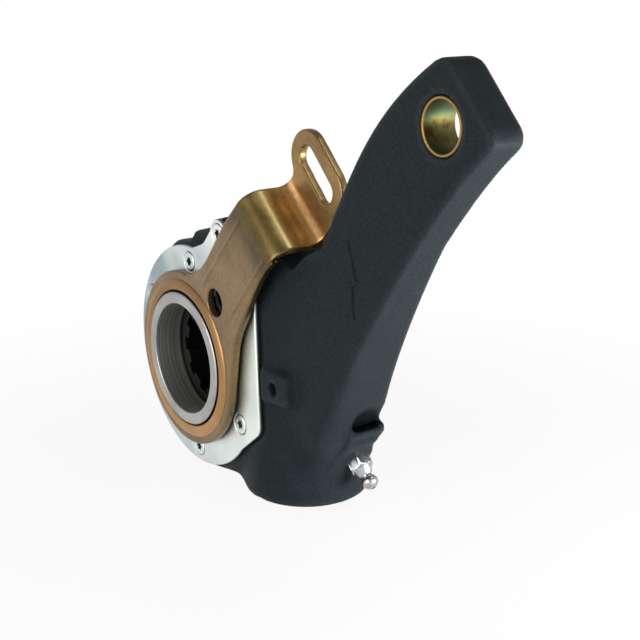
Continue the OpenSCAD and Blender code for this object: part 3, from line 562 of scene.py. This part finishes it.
def cover_field(x, y, z):
    """Distance to the plate between its two faces, inside its outline and outside the opening
    and the holes. A sink narrows by its depth, down to the screw hole."""
    plate = soft_max(cover_plan(x, z), np.maximum(cover_front - y, y - cover_back), 0.9)
    tool = cover_tool_r - np.hypot(x - cover_tool_spot[0], z - cover_tool_spot[1])
    holes = np.maximum(collar_hole_r - np.hypot(x, z), tool)
    for a, b in screw_spots:
        sink = np.maximum(screw_hole_r, sink_r - (y - cover_front))
        holes = np.maximum(holes, sink - np.hypot(x - a, z - b))
    return soft_max(plate, holes, 0.5)


# Bright zinc plate with a clear passivate: pale cool grey with faint blue and straw
# clouds about 25 mm wide, paler towards the barrel as a painted reflection, a rolled
# grain drawn at 0.9 mm to show, and a darker grey behind the front face: duller cut
# edges, with painted shade in the sinks and in the screws' driver recesses.
zinc, tree, shader, place = new_material("bright_zinc_plate_clear_passivate", 0.33, 1)
clouds = put(tree, "ShaderNodeTexNoise",
             inputs={"Vector": place, "Scale": 1000 / 25, "Detail": 2.0})
split = put(tree, "ShaderNodeSeparateXYZ", inputs={"Vector": place})
# Painted reflection: a paler tone towards the barrel and a darker one away from it.
run = put(tree, "ShaderNodeMapRange",
          inputs={"Value": split.outputs["X"], 1: -0.04, 2: 0.05, 3: -0.27, 4: 0.27})
spot = put(tree, "ShaderNodeMath", {"operation": "ADD"},
           {0: clouds.outputs["Fac"], 1: run.outputs[0]})
tint = put(tree, "ShaderNodeValToRGB", inputs={"Fac": spot.outputs[0]},
           stops=[(0.22, "#9aa8af"), (0.5, "#d0d7d6"), (0.76, "#ecf3ec")])
# Dull cut edges and painted shade: everything behind the front face, including the sinks and the
# screws' recesses, goes darker grey.
dull_edge_and_painted_shade = put(tree, "ShaderNodeMapRange",
               inputs={"Value": split.outputs["Y"], 1: -0.02605, 2: -0.0256, 3: 0.0, 4: 0.85})
colour = put(tree, "ShaderNodeMix", {"data_type": "RGBA"},
             {0: dull_edge_and_painted_shade.outputs[0], 6: tint.outputs["Color"], 7: linear("#4c5357")})
rolled = put(tree, "ShaderNodeTexNoise",
             inputs={"Vector": place, "Scale": 1000 / 0.9, "Detail": 3.0}).outputs["Fac"]
sheen = put(tree, "ShaderNodeMapRange", inputs={"Value": rolled, 3: 0.34, 4: 0.5})
fine = put(tree, "ShaderNodeBump", inputs={"Height": rolled, "Strength": 0.12, "Distance": 0.0001})
feed(tree, shader, {"Base Color": colour.outputs[2], "Roughness": sheen.outputs[0],
                    "Normal": fine.outputs[0]})

cover_low, cover_high, cover_step = (-48, -27.2, -48), (51, -23.2, 63), 0.55
points, faces, normals, _ = level_skin(cover_field, cover_low, cover_high, cover_step)
cover = add_piece("cover_pressing", points, faces, normals)
cover.data.materials.append(zinc)
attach(cover, "casting")
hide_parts("cover_plate")

# Cover screws: seven countersunk steel screws with a six-lobed driver recess,
# turned home so that the heads stand just proud of the cover. Zinc plated as the cover is.
screw_turn = once_round(48)
lobes = 1.75 + 0.3 * np.cos(6 * screw_turn)
screw_rows = [
    (1.9, 0), (1.8, 0.75 * lobes), (1.6, 0.95 * lobes), (0.0, lobes), (-0.08, lobes + 0.15),
    (-0.1, 2.9), (-0.08, 3.4), (0.02, 3.7), (0.2, 3.9), (0.4, 3.85), (1.6, 2.6), (2.1, 2.05),
    (7.4, 2.05), (8.0, 1.4), (8.0, 0),
]
one_screw, one_faces = turned(
    screw_rows, screw_turn, (0, cover_front, 0), shaft_way, side_x, side_z)
one_faces = one_faces.reshape(len(screw_rows), -1, 4)[:-1].reshape(-1, 4)
screw_shift = np.outer(screw_spots[:, 0], side_x) + np.outer(screw_spots[:, 1], side_z)
screw_points = (one_screw + screw_shift[:, None]).reshape(-1, 3)
first_point = len(one_screw) * np.arange(len(screw_spots))
screw_faces = (one_faces + first_point[:, None, None]).reshape(-1, 4)
screws = add_piece("cover_screw_set", screw_points, screw_faces, weld=True)
screws.data.materials.append(zinc)
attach(screws, "casting")
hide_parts("cover_screws")

# Control arm: one steel strip, blanked with a ring for the collar, bent twice
# over the cover's edge, with the anchor slot in its ear and two coined ribs.
arm_way, ear_turn = np.radians(47), np.radians(-3)
step_u, strip_half, plate_mid, ear_mid = 90.0, 14.0, -28.8, -9.5
plate_half, plate_back = 1.9, 1.35
bend_first, bend_second = 4.4 + plate_half, 4.2 + plate_half
strip_start, strip_end = -45, 130
quarter = np.linspace(0, np.pi / 2, 13)
first_u, second_u = step_u - plate_half - bend_first, step_u - plate_half + bend_second
first_bend = np.stack([first_u + bend_first * np.sin(quarter),
                       plate_mid + bend_first * (1 - np.cos(quarter))], 1)
second_bend = np.stack([second_u - bend_second * np.cos(quarter),
                        ear_mid - bend_second * (1 - np.sin(quarter))], 1)
arm_path = np.concatenate(
    [[(strip_start, plate_mid)], first_bend, second_bend, [(strip_end, ear_mid)]])
arm_steps = np.linalg.norm(np.diff(arm_path, axis=0), axis=1)
arm_length = np.concatenate([[0], np.cumsum(arm_steps)]) + strip_start
ear_shift = arm_length[-1] - strip_end
ear_u, ear_v = ear_shift + 107, 4.2
strip_corners = [
    (20, -30.4), (40, -18.8), (78, -13), (first_u, -strip_half), (ear_shift + 100, -strip_half),
    (ear_u, -12), (ear_u, strip_half), (ear_shift + 97, strip_half), (first_u, strip_half),
    (70, 15.2), (36, 14.6), (20, 30.4),
]
strip_outline = rounded_outline(strip_corners, [1, 30, 60, 0.5, 1, 1, 1, 1, 0.5, 60, 30, 1], 5)
arm_ring_r, arm_bore_r, arm_tool_u, arm_tool_r = 36.5, 31.12, 39.5, 5.5
ear_r, slot_half_width, slot_half_run = 10.2, 4.3, 7.7
ribs = [
    ((39, 9.9), (79, 8.4)), ((42, -10.9), (81, -11.4)), ((39, 9.9), (36.5, 8.4)),
    ((42, -10.9), (39.5, -9.6)),
]
rib_height, rib_half = 0.5, 0.62


def along_strip(u, y):
    """Length along the strip's middle line and distance off it, from the nearest piece of the
    bent line."""
    a, d = arm_path[:-1], np.diff(arm_path, axis=0)
    pu, py = np.expand_dims(u, -1) - a[:, 0], np.expand_dims(y, -1) - a[:, 1]
    t = np.clip((pu * d[:, 0] + py * d[:, 1]) / (arm_steps**2), 0, 1)
    gap = np.hypot(pu - t * d[:, 0], py - t * d[:, 1])
    best = gap.argmin(-1)[..., None]
    length = np.take_along_axis(arm_length[:-1] + t * arm_steps, best, -1)[..., 0]
    side = np.take_along_axis(d[:, 0] * py - d[:, 1] * pu, best, -1)[..., 0]
    return length, np.where(side > 0, 1, -1) * gap.min(-1)


def nearest_stroke(strokes, u, v):
    """Distance to the nearest of some straight lines, each between two points."""
    near = np.inf
    for end_a, end_b in strokes:
        a, d = np.array(end_a, float), np.subtract(end_b, end_a)
        t = np.clip(((u - a[0]) * d[0] + (v - a[1]) * d[1]) / (d @ d), 0, 1)
        near = np.minimum(near, np.hypot(u - a[0] - t * d[0], v - a[1] - t * d[1]))
    return near


def control_field(u, y, v):
    """Distance to the strip: its outline along the bent middle line, half its thickness off
    it, edges rounded, ribs raised on its front."""
    length, off = along_strip(u, y)
    ring = np.hypot(length, v) - arm_ring_r
    flat = np.minimum(ring, outline_distance(strip_outline, length, v))
    du, dv = length - ear_u, v - ear_v
    across = du * np.cos(ear_turn) + dv * np.sin(ear_turn)
    run = np.maximum(np.abs(dv * np.cos(ear_turn) - du * np.sin(ear_turn)) - slot_half_run, 0)
    slot = np.hypot(across, run)
    flat = soft_min(flat, slot - ear_r, 3)
    raised = rib_height * np.clip(1.3 - nearest_stroke(ribs, length, v) / rib_half, 0, 1)
    sheet = np.maximum(-off - raised - plate_half, off - plate_back)
    sheet = soft_max(sheet, flat, 0.8)
    holes = np.maximum(arm_bore_r - np.hypot(length, v),
                       arm_tool_r - np.hypot(length - arm_tool_u, v))
    holes = np.maximum(holes, slot_half_width - slot)
    return soft_max(sheet, holes, 0.6)


# Bronze passivate on zinc-plated strip: brown gold in clouds about 14 mm wide and a
# mottle of 1.6 mm, olive and copper bands over the bends with painted highlights in
# them and a painted shade just before the first bend, a rolled grain drawn at
# 0.8 mm to show, and darker edges. It is set short of fully metallic for its dull film.
bronze, tree, shader, place = new_material("bronze_passivate_on_zinc_plated_strip", 0.34, 0.82)
clouds = put(tree, "ShaderNodeTexNoise",
             inputs={"Vector": place, "Scale": 1000 / 14, "Detail": 3.0}).outputs["Fac"]
length = put(tree, "ShaderNodeAttribute", {"attribute_name": "length"})
drift = put(tree, "ShaderNodeMapRange", inputs={"Value": clouds, 3: -0.016, 4: 0.016})
spot = put(tree, "ShaderNodeMath", {"operation": "ADD"},
           {0: length.outputs["Fac"], 1: drift.outputs[0]})
# Along the strip: the dark stop at 0.68 is a painted shade before the first bend, and the light
# stops at 0.751, 0.8 and 0.845 are painted highlights on the bends.
tint = put(tree, "ShaderNodeValToRGB", inputs={"Fac": spot.outputs[0]}, stops=[
    (0.0, "#846d4e"), (0.6, "#846d4e"), (0.64, "#7a6443"), (0.68, "#574630"),
    (0.715, "#6a5732"), (0.738, "#84703f"), (0.751, "#c8b074"), (0.761, "#a68d50"),
    (0.777, "#a67c40"), (0.8, "#d8a860"), (0.83, "#b08050"), (0.845, "#f4c68a"),
    (0.858, "#a87f52"), (0.9, "#8b7044"), (1.0, "#94784e"),
])
mottle = put(tree, "ShaderNodeTexNoise",
             inputs={"Vector": place, "Scale": 1000 / 1.6, "Detail": 4.0})
light = put(tree, "ShaderNodeMapRange",
            inputs={"Value": mottle.outputs["Fac"], 1: 0.3, 2: 0.7, 3: 0.84, 4: 1.12})
shade = put(tree, "ShaderNodeMapRange", inputs={"Value": clouds, 1: 0.35, 2: 0.65, 3: 0.8, 4: 1.14})
light = put(tree, "ShaderNodeMath", {"operation": "MULTIPLY"},
            {0: light.outputs[0], 1: shade.outputs[0]})
cloudy = put(tree, "ShaderNodeVectorMath", {"operation": "SCALE"},
             {0: tint.outputs["Color"], "Scale": light.outputs[0]})
edge = put(tree, "ShaderNodeAttribute", {"attribute_name": "rubbed"})
colour = put(tree, "ShaderNodeMix", {"data_type": "RGBA"},
             {0: edge.outputs["Fac"], 6: cloudy.outputs[0], 7: linear("#765c38")})
rolled = put(tree, "ShaderNodeTexNoise",
             inputs={"Vector": place, "Scale": 1000 / 0.8, "Detail": 3.0}).outputs["Fac"]
sheen = put(tree, "ShaderNodeMapRange", inputs={"Value": rolled, 3: 0.27, 4: 0.4})
fine = put(tree, "ShaderNodeBump", inputs={"Height": rolled, "Strength": 0.12, "Distance": 0.0001})
feed(tree, shader, {"Base Color": colour.outputs[2], "Roughness": sheen.outputs[0],
                    "Normal": fine.outputs[0]})


def from_arm(a):
    """Turn (u, y, v) of the arm's own direction into the part's frame."""
    u, y, v = a.T
    c, s = np.cos(arm_way), np.sin(arm_way)
    return np.stack([u * c - v * s, y, u * s + v * c], 1)


arm_low, arm_high, arm_step = (-38, -32.2, -38), (119, -6.4, 38), 0.46
points, faces, normals, bend = level_skin(control_field, arm_low, arm_high, arm_step)
control = add_piece("control_arm_strip", from_arm(points), faces, from_arm(normals))
rubbed = control.data.attributes.new("rubbed", "FLOAT", "POINT")
rubbed.data.foreach_set("value", 0.45 * np.clip((bend - 0.35) / 0.6, 0, 1))
length = control.data.attributes.new("length", "FLOAT", "POINT")
tint_start, tint_run = -37, 170
strip_place, _ = along_strip(points[:, 0], points[:, 1])
length.data.foreach_set("value", (strip_place - tint_start) / tint_run)
control.data.materials.append(bronze)
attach(control, "control")
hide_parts("control_arm")

# Control collar: a turned steel sleeve whose rolled flange clamps the arm and
# whose neck runs in the cover, in an orange gold passivate.
collar_corners = [
    (-30.2, 28.1), (-31.4, 28.7), (-31.95, 30.1), (-31.7, 31.7), (-31.2, 32.8), (-30.7, 33.4),
    (-30.7, 31), (-23.2, 31), (-23.2, 28.1),
]
collar_radii = [0.3, 0.9, 2.4, 3, 2, 0.05, 0.1, 0.3, 0.3]
collar_profile = rounded_outline(collar_corners, collar_radii, 8)

# Gold passivate on turned steel: orange gold in clouds about 16 mm wide, browner
# towards the top as painted shade, with a turned grain drawn at 0.6 mm to show.
gold, tree, shader, place = new_material("gold_passivate_on_turned_steel", 0.38, 0.85)
clouds = put(tree, "ShaderNodeTexNoise",
             inputs={"Vector": place, "Scale": 1000 / 16, "Detail": 3.0})
tint = put(tree, "ShaderNodeValToRGB", inputs={"Fac": clouds.outputs["Fac"]},
           stops=[(0.3, "#a57b4a"), (0.7, "#b8905f")])
split = put(tree, "ShaderNodeSeparateXYZ", inputs={"Vector": place})
# Painted shade: the collar darkens towards its top.
painted_top_shade = put(tree, "ShaderNodeMapRange",
            inputs={"Value": split.outputs["Z"], 1: -0.022, 2: 0.026, 3: 0.0, 4: 0.75})
colour = put(tree, "ShaderNodeMix", {"data_type": "RGBA"},
             {0: painted_top_shade.outputs[0], 6: tint.outputs["Color"], 7: linear("#7c5f3c")})
rolled = put(tree, "ShaderNodeTexNoise",
             inputs={"Vector": place, "Scale": 1000 / 0.6, "Detail": 2.0})
fine = put(tree, "ShaderNodeBump",
           inputs={"Height": rolled.outputs["Fac"], "Strength": 0.12, "Distance": 0.0001})
feed(tree, shader, {"Base Color": colour.outputs[2], "Normal": fine.outputs[0]})

collar = add_piece("control_collar_sleeve", *turned(
    collar_profile, once_round(256), (0, 0, 0), shaft_way, side_x, side_z))
collar.data.materials.append(gold)
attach(collar, "control")
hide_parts("control_collar")

# Cast mark: a plain raised line with two cross bars on the lever's front, as a
# foundry leaves for the brake's turning side. It is cast and painted with the lever.
mark_strokes = [
    ((101.5, 63.2), (105.4, 50.6)), ((101.7, 48.7), (107.0, 50.4)),
    ((103.4, 48.3), (103.5, 38.3)), ((101.1, 36.9), (104.4, 37.8)),
]
mark_middle, mark_half, mark_flatness = -21.2, 0.85, 1.1


def mark_field(x, y, z):
    """Distance to a bead about the nearest stroke, a little flattened, and sunk in the lever
    so that about two thirds of a millimetre show."""
    off = mark_flatness * (y - mark_middle)
    return np.hypot(nearest_stroke(mark_strokes, x, z), off) - mark_half


mark_low, mark_high, mark_step = (99, -22.6, 35), (109, -19.8, 65.2), 0.25
points, faces, normals, _ = level_skin(mark_field, mark_low, mark_high, mark_step)
mark = add_piece("lever_cast_mark", points, faces, normals)
mark.data.materials.append(paint)
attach(mark, "casting")

# Grease nipple: a turned and milled steel fitting, hexagon, cone and ball head
# with a drilled way, screwed into its boss on the lever's side.
nipple_turn = once_round(96)
flat_half = 4.5
hexagon = flat_half / np.cos(nipple_turn % (np.pi / 3) - np.pi / 6)
ball_far, ball_half_length, ball_r = 10.5, 2.9, 3.3
ball_turn = np.radians(np.linspace(-62, 72, 14))
ball_rows = [(ball_far + ball_half_length * np.sin(a), ball_r * np.cos(a)) for a in ball_turn]
nipple_rows = [
    (-6, 0.7), (-6, 3.0), (-5.6, 3.4), (-0.05, 3.4), (0.02, np.minimum(hexagon, 4.6)),
    (0.4, hexagon), (3.9, hexagon), (4.3, np.minimum(hexagon, 4.75)),
    (4.6, np.minimum(hexagon, 4.4)), (4.7, 3.9), (6.9, 2.9), (7.4, 2.3), (7.8, 2.1),
    (8.2, 2.05), *ball_rows, (13.4, 1.0), (13.4, 0.7),
]

# Bright zinc on free-cutting steel: a cool mirror grey, slightly clouded over some 2 mm.
bright_zinc, tree, shader, place = new_material("bright_zinc_on_free_cutting_steel", 0.16, 1)
haze = put(tree, "ShaderNodeTexNoise",
           inputs={"Vector": place, "Scale": 1000 / 2, "Detail": 2.0}).outputs["Fac"]
tint = put(tree, "ShaderNodeValToRGB", inputs={"Fac": haze},
           stops=[(0.3, "#a0a4a6"), (0.7, "#bcbebe")])
veil = put(tree, "ShaderNodeMapRange", inputs={"Value": haze, 3: 0.24, 4: 0.36})
feed(tree, shader, {"Base Color": tint.outputs["Color"], "Roughness": veil.outputs[0]})

nipple = add_piece("grease_nipple_fitting", *turned(
    nipple_rows, nipple_turn, nipple_foot, nipple_way, shaft_way,
    np.cross(nipple_way, shaft_way)))
nipple.data.materials.append(bright_zinc)
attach(nipple, "casting")
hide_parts("grease_nipple")

# Seals and gasket: moulded black rubber rings and a pressed fibre sheet, which
# fill the joints of the cover, the hubs and the barrel. Their CAD shapes stay.
# Moulded rubber is a matt warm black with fine pores, drawn at 1.5 mm to show.
rubber, tree, shader, place = new_material("black_moulded_rubber", 0.6, 0, 0.3)
specks = put(tree, "ShaderNodeTexNoise",
             inputs={"Vector": place, "Scale": 1000 / 1.5, "Detail": 3.0}).outputs["Fac"]
tint = put(tree, "ShaderNodeValToRGB", inputs={"Fac": specks},
           stops=[(0.3, "#121314"), (0.7, "#1d1f20")])
pores = put(tree, "ShaderNodeBump", inputs={"Height": specks, "Strength": 0.2, "Distance": 0.0001})
feed(tree, shader, {"Base Color": tint.outputs["Color"], "Normal": pores.outputs[0]})

# Hidden drive: rack, gears, worm shaft and thrust race, cut from hardened steel and
# ground, held in the casting's bores. Their CAD shapes stay.
# Ground steel is an even cool grey, its grain drawn at 0.5 mm to show.
ground, tree, shader, place = new_material("ground_hardened_steel", 0.3, 1)
grind = put(tree, "ShaderNodeTexNoise",
            inputs={"Vector": place, "Scale": 1000 / 0.5, "Detail": 2.0}).outputs["Fac"]
tint = put(tree, "ShaderNodeValToRGB", inputs={"Fac": grind},
           stops=[(0.3, "#8d9092"), (0.7, "#a5a8aa")])
scratch = put(tree, "ShaderNodeBump",
              inputs={"Height": grind, "Strength": 0.15, "Distance": 0.0001})
feed(tree, shader, {"Base Color": tint.outputs["Color"], "Normal": scratch.outputs[0]})

# Springs, their seat, the barrel cap and the rack plug: coiled, turned or pressed from
# steel and phosphated, held by the cap at the barrel's foot. Their CAD shapes stay.
# Phosphate is a matt dark grey, slightly mottled over some 3 mm.
phosphate, tree, shader, place = new_material("phosphated_spring_steel", 0.55, 0.8)
mottle = put(tree, "ShaderNodeTexNoise",
             inputs={"Vector": place, "Scale": 1000 / 3, "Detail": 3.0})
tint = put(tree, "ShaderNodeValToRGB", inputs={"Fac": mottle.outputs["Fac"]},
           stops=[(0.3, "#2e3032"), (0.7, "#44474a")])
feed(tree, shader, {"Base Color": tint.outputs["Color"]})

finishes = {
    rubber: ["cover_gasket", "collar_seal", "hub_front_seal", "hub_rear_seal", "cap_seal",
             "shaft_seal"],
    ground: ["control_disc", "worm_shaft", "clutch_wheel", "ring_gear", "rack",
             "thrust_race_upper", "thrust_balls", "thrust_race_lower"],
    phosphate: ["one_way_spring", "rack_plug", "clutch_spring", "spring_seat", "barrel_cap"],
}
for finish, names in finishes.items():
    for name in names:
        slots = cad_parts[name].material_slots
        if not slots:
            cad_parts[name].data.materials.append(finish)
        for slot in slots:
            slot.material = finish


# Studio: a pale floor under the part, a white surround, a large soft lamp at the
# front, a small one low on the right for the lever's side, and one above the bends.
def direct_rays(tree):
    """Two switches: one for rays from the camera, and one for those and the rays through glass
    and off gloss, so that metal shows the white surround too."""
    path = put(tree, "ShaderNodeLightPath").outputs
    clear = put(tree, "ShaderNodeMath", {"operation": "MAXIMUM"},
                {0: path["Is Camera Ray"], 1: path["Is Transmission Ray"]})
    clear = put(tree, "ShaderNodeMath", {"operation": "MAXIMUM"},
                {0: clear.outputs[0], 1: path["Is Glossy Ray"]})
    return path["Is Camera Ray"], clear.outputs[0]


floor_z, floor_half = -0.0536, 4
floor_corners = [(-floor_half, -floor_half, floor_z), (floor_half, -floor_half, floor_z),
                 (floor_half, floor_half, floor_z), (-floor_half, floor_half, floor_z)]
floor_mesh = bpy.data.meshes.new("floor")
floor_mesh.from_pydata(floor_corners, [], [(0, 1, 2, 3)])
floor = bpy.data.objects.new("floor", floor_mesh)
scene.collection.objects.link(floor)

# White paper: matt, and shown white away from the part. Near it some of the real
# shading stays, which keeps the part's shadow.
card, tree, shader, place = new_material("white_paper_floor", 0.9, 0, 0)
shader.inputs["Base Color"].default_value = linear("#f4f4f4")
spread = put(tree, "ShaderNodeVectorMath", {"operation": "LENGTH"}, {0: place})
fade = put(tree, "ShaderNodeMapRange",
           inputs={"Value": spread.outputs["Value"], 1: 0.12, 2: 0.3, 3: 0.91, 4: 1.0})
_, clear = direct_rays(tree)
seen = put(tree, "ShaderNodeMath", {"operation": "MULTIPLY"}, {0: clear, 1: fade.outputs[0]})
white = put(tree, "ShaderNodeEmission", inputs={"Color": (1, 1, 1, 1), "Strength": 1.0})
paper = put(tree, "ShaderNodeMixShader",
            inputs={0: seen.outputs[0], 1: shader.outputs[0], 2: white.outputs[0]})
feed(tree, tree.nodes["Material Output"], {"Surface": paper.outputs[0]})
floor_mesh.materials.append(card)

world = bpy.data.worlds.new("studio")
scene.world = world
world.use_nodes = True
tree = world.node_tree
camera_ray, clear = direct_rays(tree)
heading = put(tree, "ShaderNodeSeparateXYZ",
              inputs={"Vector": put(tree, "ShaderNodeTexCoord").outputs["Generated"]})
dome = put(tree, "ShaderNodeMapRange",
           inputs={"Value": heading.outputs["Z"], 1: 0.1, 2: 0.7, 3: 1.0, 4: 0.3}).outputs[0]
shown = put(tree, "ShaderNodeMath", {"operation": "MAXIMUM"}, {0: camera_ray, 1: dome})
fill = put(tree, "ShaderNodeMath", {"operation": "MULTIPLY"}, {0: dome, 1: 0.5})
level = put(tree, "ShaderNodeMix",
            inputs={"Factor": clear, "A": fill.outputs[0], "B": shown.outputs[0]})
feed(tree, tree.nodes["Background"], {"Color": (1, 1, 1, 1), "Strength": level.outputs[0]})

part_middle = (0.09, 0, 0.03)
for name, spot, size, power in (
    ("key_lamp", (0.3, -1.0, 0.3), 0.7, 6.9),
    ("low_lamp", (0.32, 0.1, -0.04), 0.15, 2.1),
    ("top_lamp", (0.39, 0.33, 0.93), 0.2, 1.2),
):
    lamp_data = bpy.data.lights.new(name, "AREA")
    lamp_data.size = size
    lamp_data.energy = power
    lamp = bpy.data.objects.new(name, lamp_data)
    lamp.visible_camera = False
    back = np.subtract(spot, part_middle)
    back /= np.linalg.norm(back)
    across = np.cross((0, 0, 1), back)
    across /= np.linalg.norm(across)
    lamp.matrix_world = Matrix([*zip(across, np.cross(back, across), back, spot), (0, 0, 0, 1)])
    scene.collection.objects.link(lamp)
